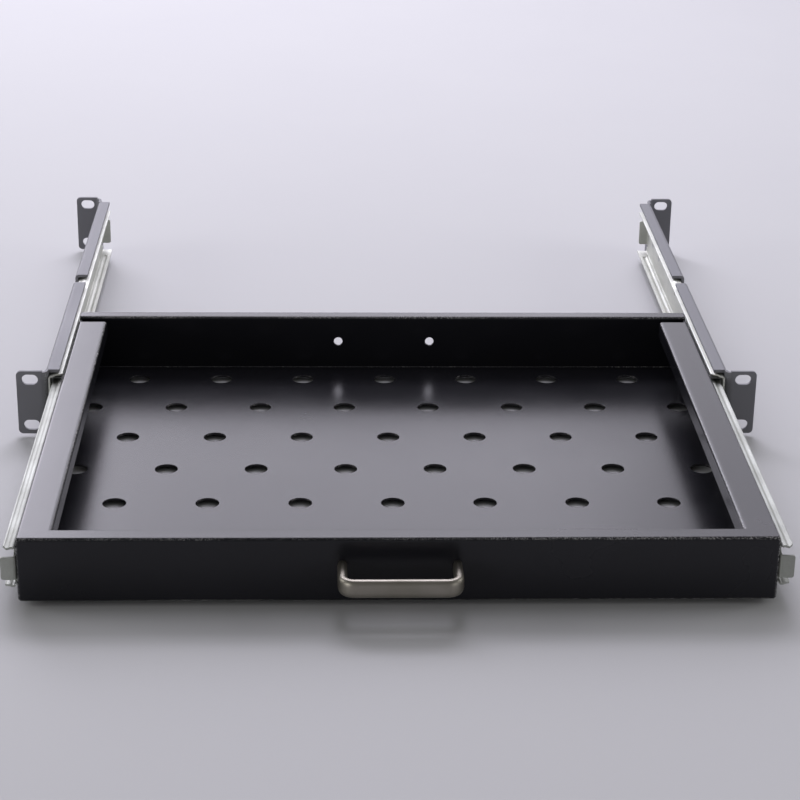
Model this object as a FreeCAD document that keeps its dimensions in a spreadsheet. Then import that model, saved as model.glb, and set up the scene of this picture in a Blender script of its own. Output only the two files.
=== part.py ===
import FreeCAD, Part
import math
import os
from types import SimpleNamespace

import Sketcher

# Pull-out shelf for a 19-inch rack, one unit high, shown with the tray drawn out.
# X runs across the rack, Y into the rack and Z up. The origin is the middle of the four slots of the
# front ears, on the face of the ears that lies against the rack posts. All sizes are in millimetres.

SIZES = {
    # Ears and their slots
    "ear_width": 18.4,
    "ear_rise": 21.6,
    "ear_drop": 22.0,
    "ear_corner": 3.0,
    "ear_bend": 3.0,
    "ear_relief": 1.0,
    "slot_inset": 8.75,
    "slot_rise": 31.75,
    "slot_length": 10.5,
    "slot_height": 7.0,
    # Side brackets
    "bracket_sheet": 2.0,
    "flange_bend": 0.6,
    "bracket_flange": 9.0,
    "flange_gap": 1.0,
    "front_setback": 3.5,
    "front_length": 174.0,
    "slip_gap": 0.15,
    "rear_start": 190.0,
    "rear_depth": 378.2,
    "rear_setback": 11.0,
    "adjust_travel": 90.0,
    # Ball-bearing slides
    "slide_level": 0.3,
    "slide_front": 0.0,
    "slide_length": 355.6,
    "slide_space": 9.1,
    "slide_sheet": 1.2,
    "slide_bend": 0.6,
    "outer_height": 35.0,
    "tray_clearance": 0.5,
    "end_trim": 6.0,
    "end_relief": 3.0,
    "rear_tab_height": 19.4,
    "rear_tab_gap": 1.1,
    "rear_notch": 2.6,
    "front_tab_height": 13.8,
    "front_tab_drop": 1.0,
    "front_tab_gap": 0.7,
    "front_tab_lead": 0.5,
    "tab_corner": 1.5,
    "catch_height": 10.0,
    "lip_corner": 2.0,
    "pull_out": 237.5,
    "stop_gap": 0.3,
    "dimple_setback": 3.0,
    "dimple_diameter": 4.0,
    "dimple_rise": 0.9,
    # Balls and their cage
    "ball_diameter": 4.0,
    "ball_line": 4.75,
    "race_gap": 0.3,
    "race_depth": 0.6,
    "race_end": 15.0,
    "run_gap": 0.4,
    "cage_sheet": 0.5,
    "cage_pocket_gap": 0.15,
    "cage_end": 8.0,
    # Tray
    "tray_width": 423.6,
    "tray_depth": 352.0,
    "tray_height": 39.0,
    "tray_rise": 16.9,
    "tray_sheet": 1.5,
    "tray_bend": 0.6,
    "side_flange": 19.5,
    "side_lip": 11.0,
    "side_gap": 10.0,
    "front_flange": 11.0,
    "rear_flange": 9.0,
    "vent_diameter": 14.4,
    "vent_pitch": 56.5,
    "vent_row_pitch": 50.5,
    "vent_side_edge": 4.0,
    "vent_end_edge": 12.0,
    "rear_hole_diameter": 6.0,
    "rear_hole_pitch": 64.0,
    "rear_hole_drop": 1.3,
    # Handle
    "handle_pitch": 64.0,
    "handle_thickness": 5.4,
    "handle_height": 10.6,
    "handle_reach": 21.0,
    "handle_bend": 4.0,
    "handle_edge": 1.9,
    "handle_drop": 1.9,
    # Fasteners
    "fit_gap": 0.1,
    "clamp_gap": 0.1,
    "screw_diameter": 4.0,
    "countersink": 1.0,
    "pan_head_diameter": 7.0,
    "pan_head_height": 2.0,
    "nut_width": 7.0,
    "nut_height": 3.2,
    "washer_diameter": 9.0,
    "washer_sheet": 0.8,
    "thread_end": 0.5,
    "rivet_start": 35.0,
    "rivet_pitch": 60.0,
    "spare_hole_place": 209.0,
    "adjust_start": 291.0,
    "adjust_pitch": 33.5,
    "slot_play": 0.6,
    "tray_screw_start": 30.0,
    "tray_screw_pitch": 145.0,
    "tray_screw_edge": 20.0,
    "handle_screw_diameter": 3.0,
    "handle_screw_head": 5.6,
    "handle_screw_head_height": 1.8,
    "handle_screw_grip": 8.0,
    "handle_bore_end": 1.0,
}

BALLS_PER_ROW = 4
RIVETS = 3
ADJUST_SCREWS = 2
HANDLE_SCREWS = 2

HANDS = {"left": -1, "right": 1}
SHEET_NAME = "Sizes"
DECIMALS = 9
NEAR = 1e-4
HALF_TURN = 180.0
QUARTER_TURN = 90.0
HEX = 6

# Origin plane across each axis, and which way along the axis its normal points
PLANES = {"x": ("YZ_Plane", 1), "y": ("XZ_Plane", -1), "z": ("XY_Plane", 1)}
AXIS_INDEX = {"x": 0, "y": 1, "z": 2}
X_DIRECTION = FreeCAD.Vector(1, 0, 0)
Y_DIRECTION = FreeCAD.Vector(0, 1, 0)
Z_DIRECTION = FreeCAD.Vector(0, 0, 1)


class Size:
    """A length, as a formula on the sheet's cells and as its value in millimetres."""

    def __init__(self, formula, value):
        self.formula = formula
        self.value = value

    def joined(self, sign, other, value):
        return Size(f"({self.formula} {sign} {other.formula})", value)

    def __add__(self, other):
        other = as_size(other)
        return self.joined("+", other, self.value + other.value)

    def __sub__(self, other):
        other = as_size(other)
        return self.joined("-", other, self.value - other.value)

    def __mul__(self, other):
        other = as_size(other)
        return self.joined("*", other, self.value * other.value)

    def __truediv__(self, other):
        other = as_size(other)
        return self.joined("/", other, self.value / other.value)

    def __neg__(self):
        return self * -1

    def root(self):
        return Size(f"sqrt({self.formula})", math.sqrt(self.value))


def as_size(value):
    """The value itself if it is a size, else a plain number as one."""
    if isinstance(value, Size):
        return value
    return Size(f"({value:.{DECIMALS}f})", float(value))


def chord(radius, rise):
    """Half the chord that a circle cuts at a height above its middle."""
    return (radius * radius - rise * rise).root()


def fill_sheet(document):
    """Write the driving sizes to a sheet and return them by name."""
    sheet = document.addObject("Spreadsheet::Sheet", SHEET_NAME)
    sizes = {}
    for row, (name, value) in enumerate(SIZES.items(), 1):
        sheet.set(f"A{row}", str(value))
        sheet.setAlias(f"A{row}", name)
        sizes[name] = Size(f"{SHEET_NAME}.{name}", value)
    document.recompute()
    return SimpleNamespace(**sizes)


doc = FreeCAD.newDocument("sliding_rack_shelf")
s = fill_sheet(doc)
ZERO = as_size(0)

# Places that several pieces share
half_tray = s.tray_width / 2
web_inner = half_tray + s.slide_space
web_outer = web_inner + s.bracket_sheet
ear_edge = web_outer + s.ear_width
slot_place = ear_edge - s.slot_inset
rear_web_inner = web_inner + s.slip_gap
rear_web_outer = rear_web_inner + s.bracket_sheet
flange_under = s.slide_level + s.outer_height / 2 + s.flange_gap
flange_top = flange_under + s.bracket_sheet

race_radius = s.ball_diameter / 2 + s.race_gap
ball_row = s.outer_height / 2 - s.slide_sheet - race_radius
outer_flat = s.outer_height / 2 - s.race_depth
outer_flat_inside = outer_flat - s.slide_sheet
inner_flat = ball_row * 2 - outer_flat_inside
inner_flat_inside = inner_flat - s.slide_sheet
race_mouth = chord(race_radius, outer_flat_inside - ball_row)
race_back = chord(race_radius + s.slide_sheet, outer_flat - ball_row)
outer_depth = s.slide_space - s.tray_clearance
cage_back = s.slide_sheet + s.run_gap
cage_face = cage_back + s.cage_sheet
inner_tip = cage_face + s.run_gap
inner_back = s.slide_space - s.slide_sheet
slide_end = s.slide_front + s.slide_length
inner_front = s.slide_front - s.stop_gap - s.pull_out - s.slide_sheet
inner_end = inner_front + s.slide_length
cage_front = s.slide_front + s.dimple_setback + s.dimple_diameter / 2 + s.stop_gap
cage_length = inner_end - s.slide_sheet - s.stop_gap - cage_front

tray_front = inner_front + s.front_tab_lead
tray_rear = tray_front + s.tray_depth
tray_middle = tray_front + s.tray_depth / 2
tray_top = s.slide_level + s.tray_rise
tray_bottom = tray_top - s.tray_height
floor_top = tray_bottom + s.tray_sheet
handle_level = s.slide_level - s.handle_drop
screw_hole = s.screw_diameter + s.fit_gap * 2
tray_screw_first = inner_front + s.tray_screw_start


def fitting(length, pitch):
    """Number of evenly spaced places that fit on a length, with one at its start."""
    return math.floor(length.value / pitch.value) + 1


floor_width = s.tray_width - s.tray_sheet * 2
floor_depth = s.tray_depth - s.tray_sheet * 2
long_row_vents = fitting(floor_width - s.vent_diameter - s.vent_side_edge * 2, s.vent_pitch)
vent_rows = fitting(floor_depth - s.vent_diameter - s.vent_end_edge * 2, s.vent_row_pitch)
held_end = min((inner_end, tray_rear), key=lambda end: end.value)
tray_screws = fitting(held_end - tray_screw_first - s.tray_screw_edge, s.tray_screw_pitch)


def across(hand, depth):
    """X of a point at a depth from the bracket's web towards the tray, on one hand."""
    return (web_inner - depth) * HANDS[hand]


def level(height):
    """Z of a point at a height above the middle of the slides."""
    return s.slide_level + height


def origin_part(body, role):
    """One of the body's own origin planes or axes."""
    return next(part for part in body.Origin.OriginFeatures if part.Role == role)


def new_body(label):
    """Empty body that becomes the node of that name."""
    body = doc.addObject("PartDesign::Body", label)
    body.Label = label
    return body


def hold(sketch, constraint, size):
    """Add a dimension to a sketch and tie it to the sheet."""
    number = sketch.addConstraint(constraint)
    sketch.setExpression(f"Constraints[{number}]", size.formula)


def pin(sketch, edge, end, x, y):
    """Dimension one end of an edge from the sketch's origin."""
    hold(sketch, Sketcher.Constraint("DistanceX", -1, 1, edge, end, x.value), x)
    hold(sketch, Sketcher.Constraint("DistanceY", -1, 1, edge, end, y.value), y)


def arc_edge(start, end, middle, turn):
    """Arc from start to end about a middle, with turn 1 for anticlockwise and -1 for clockwise."""
    if turn < 0:
        start, end = end, start
    first = math.atan2(start.y - middle.y, start.x - middle.x)
    last = math.atan2(end.y - middle.y, end.x - middle.x)
    if last < first:
        last += 2 * math.pi
    circle = Part.Circle(middle, Z_DIRECTION, (start - middle).Length)
    return Part.ArcOfCircle(circle, first, last)


def outline(corners, arcs=None):
    """Closed outline through the corners. Arcs maps a corner's number to (x, y, radius, turn).

    An arc is held by its radius, and a half circle, which has no other, by the X of its middle.
    """
    arcs = arcs or {}

    def draw(sketch):
        points = [FreeCAD.Vector(x.value, y.value, 0) for x, y in corners]
        count = len(points)
        ends = []
        for number, start in enumerate(points):
            end = points[(number + 1) % count]
            if number in arcs:
                x, y, radius, turn = arcs[number]
                middle = FreeCAD.Vector(x.value, y.value, 0)
                edge = sketch.addGeometry(arc_edge(start, end, middle, turn))
                if abs((end - start).Length - 2 * radius.value) < NEAR:
                    hold(sketch, Sketcher.Constraint("DistanceX", -1, 1, edge, 3, x.value), x)
                else:
                    hold(sketch, Sketcher.Constraint("Radius", edge, radius.value), radius)
                ends.append((edge, 1, 2) if turn > 0 else (edge, 2, 1))
            else:
                edge = sketch.addGeometry(Part.LineSegment(start, end))
                ends.append((edge, 1, 2))
        for number, (edge, begin, finish) in enumerate(ends):
            after, after_begin, after_finish = ends[(number + 1) % count]
            sketch.addConstraint(Sketcher.Constraint("Coincident", edge, finish, after, after_begin))
            pin(sketch, edge, begin, *corners[number])

    return draw


def rectangle(x_low, x_high, y_low, y_high):
    """Closed outline of a rectangle."""
    return outline([(x_low, y_low), (x_high, y_low), (x_high, y_high), (x_low, y_high)])


def circle(x, y, diameter):
    """Circle about a point."""

    def draw(sketch):
        middle = FreeCAD.Vector(x.value, y.value, 0)
        edge = sketch.addGeometry(Part.Circle(middle, Z_DIRECTION, diameter.value / 2))
        hold(sketch, Sketcher.Constraint("Diameter", edge, diameter.value), diameter)
        pin(sketch, edge, 3, x, y)

    return draw


def slot(x, y, length, height):
    """Slot with round ends, lying along the sketch's X."""
    run = (length - height) / 2
    low, high = y - height / 2, y + height / 2
    corners = [(x - run, low), (x + run, low), (x + run, high), (x - run, high)]
    return outline(corners, {1: (x + run, y, height / 2, 1), 3: (x - run, y, height / 2, 1)})


def drawn(body, name, axis, place, shapes):
    """Sketch across an axis, at a place along it, with the shapes drawn in it."""
    role, sign = PLANES[axis]
    sketch = body.newObject("Sketcher::SketchObject", name)
    sketch.AttachmentSupport = [(origin_part(body, role), "")]
    sketch.MapMode = "FlatFace"
    sketch.setExpression("AttachmentOffset.Base.z", (place * sign).formula)
    for draw in shapes:
        draw(sketch)
    return sketch


def extrude(kind, body, name, axis, start, length, shapes):
    """Pad or pocket from start along an axis, towards its positive end."""
    sign = PLANES[axis][1]
    sketch = drawn(body, f"{name}_sketch", axis, start, shapes)
    feature = body.newObject(f"PartDesign::{kind}", name)
    feature.Profile = sketch
    feature.Reversed = sign < 0 if kind == "Pad" else sign > 0
    feature.setExpression("Length", length.formula)
    doc.recompute()
    return feature


def pad(*arguments):
    """Add material along an axis."""
    return extrude("Pad", *arguments)


def cut(*arguments):
    """Take material away along an axis."""
    return extrude("Pocket", *arguments)


def repeat(body, feature, name, runs):
    """Copies of a feature along one or two body axes. Each run is (axis, length, count)."""
    pattern = body.newObject("PartDesign::LinearPattern", name)
    pattern.Originals = [feature]
    for suffix, (axis, length, count) in zip(("", "2"), runs):
        setattr(pattern, f"Direction{suffix}", (origin_part(body, f"{axis.upper()}_Axis"), [""]))
        pattern.setExpression(f"Length{suffix}", length.formula)
        setattr(pattern, f"Occurrences{suffix}", count)
    body.Tip = pattern
    doc.recompute()
    return pattern


def edges_along(shape, axis, places, shortest=0):
    """Names of the straight edges along an axis that pass through one of the places."""
    along = AXIS_INDEX[axis]
    names = []
    for number, edge in enumerate(shape.Edges, 1):
        if len(edge.Vertexes) != 2 or edge.Length < shortest:
            continue
        first, last = (vertex.Point for vertex in edge.Vertexes)
        flat = [(first[i], last[i]) for i in range(3) if i != along]
        if any(abs(a - b) > NEAR for a, b in flat):
            continue
        for x, y in places:
            if abs(flat[0][0] - x.value) < NEAR and abs(flat[1][0] - y.value) < NEAR:
                names.append(f"Edge{number}")
    return names


def dress(kind, body, name, edges, size):
    """Fillet or chamfer on named edges of the body as it stands."""
    if not edges:
        raise RuntimeError(f"{name} finds no edge")
    base = body.Tip
    feature = body.newObject(f"PartDesign::{kind}", name)
    feature.Base = (base, edges)
    feature.setExpression("Radius" if kind == "Fillet" else "Size", size.formula)
    body.Tip = feature
    doc.recompute()
    if not feature.isValid():
        raise RuntimeError(f"{name} fails")
    return feature


def fold(body, name, axis, places, radius):
    """Round the straight edges along an axis at the places."""
    return dress("Fillet", body, name, edges_along(body.Tip.Shape, axis, places), radius)


def sink(body, name, places, face, diameter):
    """Countersink the holes across X whose rims lie on a face, about the places in Y and Z."""
    names = []
    for number, edge in enumerate(body.Tip.Shape.Edges, 1):
        curve = edge.Curve
        if not isinstance(curve, Part.Circle) or abs(curve.Radius - diameter.value / 2) > NEAR:
            continue
        middle = curve.Center
        if abs(middle.x - face.value) > NEAR:
            continue
        if any(abs(middle.y - y.value) + abs(middle.z - z.value) < NEAR for y, z in places):
            names.append(f"Edge{number}")
    return dress("Chamfer", body, name, names, s.countersink)


def row(start, pitch, count, height):
    """Evenly spaced places along Y at one height."""
    return [(start + pitch * number, height) for number in range(count)]


rivet_places = row(s.rivet_start, s.rivet_pitch, RIVETS, s.slide_level)
adjust_places = row(s.adjust_start, s.adjust_pitch, ADJUST_SCREWS, s.slide_level)
tray_screw_places = row(tray_screw_first, s.tray_screw_pitch, tray_screws, s.slide_level)


def low_side(hand, near, far):
    """The lower of two X values that lie at distances from the middle, on one hand."""
    return near if HANDS[hand] > 0 else -far


def drill_across(body, name, hand, near, far, places, diameter):
    """Round holes along X through a wall between two distances from the middle."""
    start = low_side(hand, near, far)
    return cut(body, name, "x", start, far - near, [circle(y, z, diameter) for y, z in places])


def ear_slots(body, hand, start):
    """The two rack slots of an ear."""
    place = slot_place * HANDS[hand]
    shapes = [slot(place, s.slot_rise / 2 * side, s.slot_length, s.slot_height) for side in (1, -1)]
    cut(body, f"{body.Label}_slots", "y", start, s.bracket_sheet, shapes)


def bracket_beam(body, hand, inner, start, end):
    """Folded web and inward top flange of a bracket."""
    side = HANDS[hand]
    outer = inner + s.bracket_sheet
    tip = outer - s.bracket_flange
    bottom = -s.ear_drop
    section = [
        (outer, bottom),
        (outer, flange_top),
        (tip, flange_top),
        (tip, flange_under),
        (inner, flange_under),
        (inner, bottom),
    ]
    shape = outline([(x * side, z) for x, z in section])
    pad(body, f"{body.Label}_beam", "y", start, end - start, [shape])
    fold(body, f"{body.Label}_fold_inside", "y", [(inner * side, flange_under)], s.flange_bend)
    outside = s.flange_bend + s.bracket_sheet
    fold(body, f"{body.Label}_fold_outside", "y", [(outer * side, flange_top)], outside)


def bracket_ear(body, hand, inner, face, mating, root):
    """Outward ear with its bend, between its free face and its mating face, and back to the web's root."""
    side = HANDS[hand]
    name = body.Label
    outer = inner + s.bracket_sheet
    plan = [
        (inner, face),
        (ear_edge, face),
        (ear_edge, mating),
        (outer, mating),
        (outer, root),
        (inner, root),
    ]
    shape = outline([(x * side, y) for x, y in plan])
    pad(body, f"{name}_ear", "z", -s.ear_drop, s.ear_rise + s.ear_drop, [shape])
    low, high = sorted((face, root), key=lambda size: size.value)
    bend_edge = outer + s.ear_bend / 2
    relief = rectangle_between(inner * side, bend_edge * side, low, high)
    cut(body, f"{name}_ear_relief", "z", s.ear_rise - s.ear_relief, s.ear_relief, [relief])
    fold(body, f"{name}_ear_bend_inside", "z", [(outer * side, mating)], s.ear_bend)
    outside = s.ear_bend + s.bracket_sheet
    fold(body, f"{name}_ear_bend_outside", "z", [(inner * side, face)], outside)
    corners = [(ear_edge * side, s.ear_rise), (ear_edge * side, -s.ear_drop)]
    fold(body, f"{name}_ear_corners", "y", corners, s.ear_corner)
    fold(body, f"{name}_ear_shoulder", "y", [(bend_edge * side, s.ear_rise)], s.ear_relief / 2)


def front_bracket(hand):
    """Front bracket, riveted to the slide."""
    body = new_body(f"{hand}_front_bracket")
    bracket_beam(body, hand, web_inner, s.front_setback, s.front_length)
    bracket_ear(body, hand, web_inner, -s.bracket_sheet, ZERO, s.front_setback)
    ear_slots(body, hand, -s.bracket_sheet)
    drill_across(body, f"{body.Label}_holes", hand, web_inner, web_outer, rivet_places, screw_hole)


def rear_bracket(hand):
    """Rear bracket, which slides along the slide's back to suit the depth of the rack."""
    body = new_body(f"{hand}_rear_bracket")
    flange_end = s.rear_depth - s.rear_setback
    bracket_beam(body, hand, rear_web_inner, s.rear_start, flange_end)
    inside = s.rear_depth - s.bracket_sheet
    bracket_ear(body, hand, rear_web_inner, s.rear_depth, inside, flange_end)
    ear_slots(body, hand, inside)
    height = s.screw_diameter + s.slot_play
    reach = s.adjust_travel + s.adjust_pitch * (ADJUST_SCREWS - 1)
    middle = s.adjust_start + s.adjust_pitch * (ADJUST_SCREWS - 1) - reach / 2
    start = low_side(hand, rear_web_inner, rear_web_outer)
    shape = slot(middle, s.slide_level, reach + height, height)
    cut(body, f"{body.Label}_adjust_slot", "x", start, s.bracket_sheet, [shape])


def outer_section(hand):
    """C section of the outer member, open towards the tray, with a race rolled into each flange."""
    ends = []
    for side in (-1, 1):
        half = [
            (outer_depth, outer_flat_inside),
            (outer_depth, outer_flat),
            (s.ball_line + race_back, outer_flat),
            (s.ball_line - race_back, outer_flat),
            (ZERO, outer_flat),
            (s.slide_sheet, outer_flat_inside),
            (s.ball_line - race_mouth, outer_flat_inside),
            (s.ball_line + race_mouth, outer_flat_inside),
        ]
        ends.append([(across(hand, depth), level(height * side)) for depth, height in half])
    lower, upper = ends
    corners = lower[:5] + upper[4::-1] + upper[:4:-1] + lower[5:]
    turn = HANDS[hand]
    middle = across(hand, s.ball_line)
    back = race_radius + s.slide_sheet
    below, above = level(-ball_row), level(ball_row)
    arcs = {
        2: (middle, below, back, turn),
        6: (middle, above, back, turn),
        10: (middle, above, race_radius, -turn),
        14: (middle, below, race_radius, -turn),
    }
    return corners, arcs


def slide_outer(hand):
    """Outer member of a slide, fixed to the front bracket."""
    body = new_body(f"{hand}_slide_outer")
    name = body.Label
    corners, arcs = outer_section(hand)
    pad(body, f"{name}_channel", "y", s.slide_front, s.slide_length, [outline(corners, arcs)])
    inside = [(across(hand, s.slide_sheet), level(outer_flat_inside * side)) for side in (-1, 1)]
    outside = [(across(hand, ZERO), level(outer_flat * side)) for side in (-1, 1)]
    fold(body, f"{name}_bends_inside", "y", inside, s.slide_bend)
    fold(body, f"{name}_bends_outside", "y", outside, s.slide_bend + s.slide_sheet)
    slide_outer_ends(body, hand)
    holes = rivet_places + adjust_places
    spare = [(s.spare_hole_place, s.slide_level)]
    inner_face = web_inner - s.slide_sheet
    drill_across(body, f"{name}_holes", hand, inner_face, web_inner, holes + spare, screw_hole)
    sink(body, f"{name}_countersinks", holes, inner_face * HANDS[hand], screw_hole)


def slide_outer_ends(body, hand):
    """Slanted front ends of the flanges, flat rear ends of the races, rear tab and front dimple."""
    name = body.Label
    edge, past = across(hand, s.slide_sheet), across(hand, s.slide_space)
    slant = [(edge, s.slide_front), (past, s.slide_front), (past, s.slide_front + s.end_trim)]
    low = level(-s.outer_height / 2)
    cut(body, f"{name}_slanted_ends", "z", low, s.outer_height, [outline(slant)])
    depths = [across(hand, depth) for depth in (s.ball_line - race_mouth, s.ball_line + race_mouth)]
    flat = rectangle_between(*depths, slide_end - s.race_end, slide_end)
    for side, height in (("lower", -outer_flat), ("upper", outer_flat_inside)):
        pad(body, f"{name}_{side}_race_end", "z", level(height), s.slide_sheet, [flat])
    tab = ("rear_tab", slide_end, slide_end - s.slide_sheet, s.rear_tab_height, ZERO)
    room_edge = s.rear_tab_height / 2 + s.rear_notch
    bent_tab(body, hand, tab, ZERO, s.slide_space - s.rear_tab_gap, room_edge)
    face = web_inner - s.slide_sheet
    dimple = circle(s.slide_front + s.dimple_setback, s.slide_level, s.dimple_diameter)
    start = low_side(hand, face - s.dimple_rise, face)
    pad(body, f"{name}_dimple", "x", start, s.dimple_rise, [dimple])


def bent_tab(body, hand, tab, back, reach, room_edge):
    """Tab with round corners, bent across the channel at the end of a web between two round notches.

    Tab gives its label, the Y of its outer and inner face, its height and its drop below the middle of
    the slide. Back is the depth of the web's free face and reach that of the tab's tip. The notches go
    as far from the middle as room_edge.
    """
    label, outer_face, inner_face, height, drop = tab
    name = f"{body.Label}_{label}"
    front = back + s.slide_sheet if reach.value > back.value else back - s.slide_sheet
    low, high = sorted((outer_face, inner_face), key=lambda size: size.value)
    notches = []
    for side in (-1, 1):
        edge = height / 2 - drop * side
        room = room_edge - edge
        middle = level((room_edge + edge) / 2 * side)
        notches.append(slot(outer_face, middle, s.end_relief * 2 + room, room))
    start = sorted((across(hand, back), across(hand, front)), key=lambda size: size.value)[0]
    cut(body, f"{name}_notches", "x", start, s.slide_sheet, notches)
    plan = rectangle_between(across(hand, back), across(hand, reach), low, high)
    pad(body, name, "z", level(-height / 2 - drop), height, [plan])
    outside = s.slide_bend + s.slide_sheet
    bends = (("inside", front, inner_face, s.slide_bend), ("outside", back, outer_face, outside))
    for bend, depth, face, radius in bends:
        edges = edges_along(body.Tip.Shape, "z", [(across(hand, depth), face)], height.value / 2)
        dress("Fillet", body, f"{name}_bend_{bend}", edges, radius)
    corners = [(across(hand, reach), level(height / 2 * side - drop)) for side in (-1, 1)]
    fold(body, f"{name}_corners", "y", corners, s.tab_corner)


def rectangle_between(x_one, x_two, y_low, y_high):
    """Rectangle whose two X values may come in either order."""
    low, high = sorted((x_one, x_two), key=lambda size: size.value)
    return rectangle(low, high, y_low, y_high)


def inner_section(hand):
    """C section of the inner member, open towards the bracket, with a race rolled into each flange."""
    ends = []
    for side in (-1, 1):
        half = [
            (s.slide_space, inner_flat),
            (s.ball_line + race_mouth, inner_flat),
            (s.ball_line - race_mouth, inner_flat),
            (inner_tip, inner_flat),
            (inner_tip, inner_flat_inside),
            (s.ball_line - race_back, inner_flat_inside),
            (s.ball_line + race_back, inner_flat_inside),
            (inner_back, inner_flat_inside),
        ]
        ends.append([(across(hand, depth), level(height * side)) for depth, height in half])
    lower, upper = ends
    corners = upper + lower[::-1]
    turn = HANDS[hand]
    middle = across(hand, s.ball_line)
    back = race_radius + s.slide_sheet
    below, above = level(-ball_row), level(ball_row)
    arcs = {
        1: (middle, above, race_radius, turn),
        5: (middle, above, back, -turn),
        9: (middle, below, back, -turn),
        13: (middle, below, race_radius, turn),
    }
    return corners, arcs


def slide_inner(hand):
    """Inner member of a slide, fixed to the side of the tray."""
    body = new_body(f"{hand}_slide_inner")
    name = body.Label
    corners, arcs = inner_section(hand)
    pad(body, f"{name}_channel", "y", inner_front, s.slide_length, [outline(corners, arcs)])
    inside = [(across(hand, inner_back), level(inner_flat_inside * side)) for side in (-1, 1)]
    outside = [(across(hand, s.slide_space), level(inner_flat * side)) for side in (-1, 1)]
    fold(body, f"{name}_bends_inside", "y", inside, s.slide_bend)
    fold(body, f"{name}_bends_outside", "y", outside, s.slide_bend + s.slide_sheet)
    corners = []
    for end, way in ((inner_front, 1), (inner_end, -1)):
        tip, past = across(hand, inner_tip), across(hand, inner_tip + s.lip_corner)
        corners.append(outline([(tip, end), (past, end), (tip, end + s.lip_corner * way)]))
    cut(body, f"{name}_lip_corners", "z", level(-inner_flat), inner_flat * 2, corners)
    slide_inner_tabs(body, hand)
    near = half_tray
    drill_across(body, f"{name}_holes", hand, near, near + s.slide_sheet, tray_screw_places, screw_hole)


def slide_inner_tabs(body, hand):
    """Front stop tab and rear catch, bent out of the web of the inner member."""
    inner_face = inner_front + s.slide_sheet
    tab = ("front_tab", inner_front, inner_face, s.front_tab_height, s.front_tab_drop)
    bent_tab(body, hand, tab, s.slide_space, s.front_tab_gap, inner_flat_inside)
    tab = ("rear_catch", inner_end, inner_end - s.slide_sheet, s.catch_height, ZERO)
    bent_tab(body, hand, tab, s.slide_space, cage_back, inner_flat_inside)


def ball_places():
    """Y of the balls along the cage."""
    pitch = (cage_length - s.cage_end * 2) / (BALLS_PER_ROW - 1)
    return [cage_front + s.cage_end + pitch * number for number in range(BALLS_PER_ROW)]


def ball_cage(hand):
    """Strip that keeps both rows of balls apart, with a pocket for each ball."""
    body = new_body(f"{hand}_ball_cage")
    name = body.Label
    tip = outer_depth - s.run_gap
    outside, inside = ball_row + s.cage_sheet / 2, ball_row - s.cage_sheet / 2
    half = [(cage_back, outside), (tip, outside), (tip, inside), (cage_face, inside)]
    upper = [(across(hand, depth), level(height)) for depth, height in half]
    lower = [(across(hand, depth), level(-height)) for depth, height in half]
    pad(body, f"{name}_strip", "y", cage_front, cage_length, [outline(upper + lower[::-1])])
    places = ball_places()
    pocket = circle(across(hand, s.ball_line), places[0], s.ball_diameter + s.cage_pocket_gap * 2)
    first = cut(body, f"{name}_pocket", "z", level(-outside), outside * 2, [pocket])
    repeat(body, first, f"{name}_pockets", [("y", places[-1] - places[0], BALLS_PER_ROW)])


def place_at(item, x, y, z):
    """Tie an object's place to the sheet."""
    for letter, size in zip("xyz", (x, y, z)):
        item.setExpression(f"Placement.Base.{letter}", size.formula)


def balls(hand):
    """Upper and lower row of balls."""
    label = f"{hand}_balls"
    spheres = []
    for side in (-1, 1):
        for y in ball_places():
            sphere = doc.addObject("Part::Sphere", f"{label}_sphere")
            sphere.setExpression("Radius", (s.ball_diameter / 2).formula)
            place_at(sphere, across(hand, s.ball_line), y, level(ball_row * side))
            spheres.append(sphere)
    group = doc.addObject("Part::Compound", label)
    group.Label = label
    group.Links = spheres


def tray_section():
    """Section across the tray: floor, side walls, side flanges and their down-turned lips."""
    lip = half_tray - s.side_flange
    lip_back = lip + s.tray_sheet
    wall = half_tray - s.tray_sheet
    under = tray_top - s.tray_sheet
    half = [
        (half_tray, tray_bottom),
        (half_tray, tray_top),
        (lip, tray_top),
        (lip, tray_top - s.side_lip),
        (lip_back, tray_top - s.side_lip),
        (lip_back, under),
        (wall, under),
        (wall, floor_top),
    ]
    return half + [(-x, z) for x, z in half[::-1]]


def tray():
    """Folded and welded tray with a vented floor."""
    body = new_body("tray")
    sheet = s.tray_sheet
    under = tray_top - sheet
    pad(body, "tray_channel", "y", tray_front, s.tray_depth, [outline(tray_section())])
    lip = half_tray - s.side_flange
    outside = s.tray_bend + sheet
    fold(body, "tray_lip_folds", "y", [(lip * side, tray_top) for side in (-1, 1)], outside)
    corners = [((lip + sheet) * side, under) for side in (-1, 1)]
    fold(body, "tray_lip_folds_inside", "y", corners, s.tray_bend)
    flange_end = tray_rear - sheet - s.side_gap
    for name, edge, depth in (("ends", half_tray - sheet, s.side_lip), ("reliefs", half_tray, outside)):
        shapes = [rectangle_between(lip * side, edge * side, flange_end, tray_rear) for side in (-1, 1)]
        cut(body, f"tray_flange_{name}", "z", tray_top - depth, depth, shapes)
    flange_edge = tray_front + s.front_flange
    front = [
        (tray_front, tray_bottom),
        (tray_front, tray_top),
        (flange_edge, tray_top),
        (flange_edge, under),
        (tray_front + sheet, under),
        (tray_front + sheet, tray_bottom),
    ]
    pad(body, "tray_front_wall", "x", -half_tray, s.tray_width, [outline(front)])
    flange_edge = tray_rear - sheet + s.rear_flange
    rear = [
        (tray_rear - sheet, tray_bottom),
        (tray_rear, tray_bottom),
        (tray_rear, under),
        (flange_edge, under),
        (flange_edge, tray_top),
        (tray_rear - sheet, tray_top),
    ]
    pad(body, "tray_rear_wall", "x", -half_tray, s.tray_width, [outline(rear)])
    tray_bends(body)
    tray_holes(body)


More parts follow.
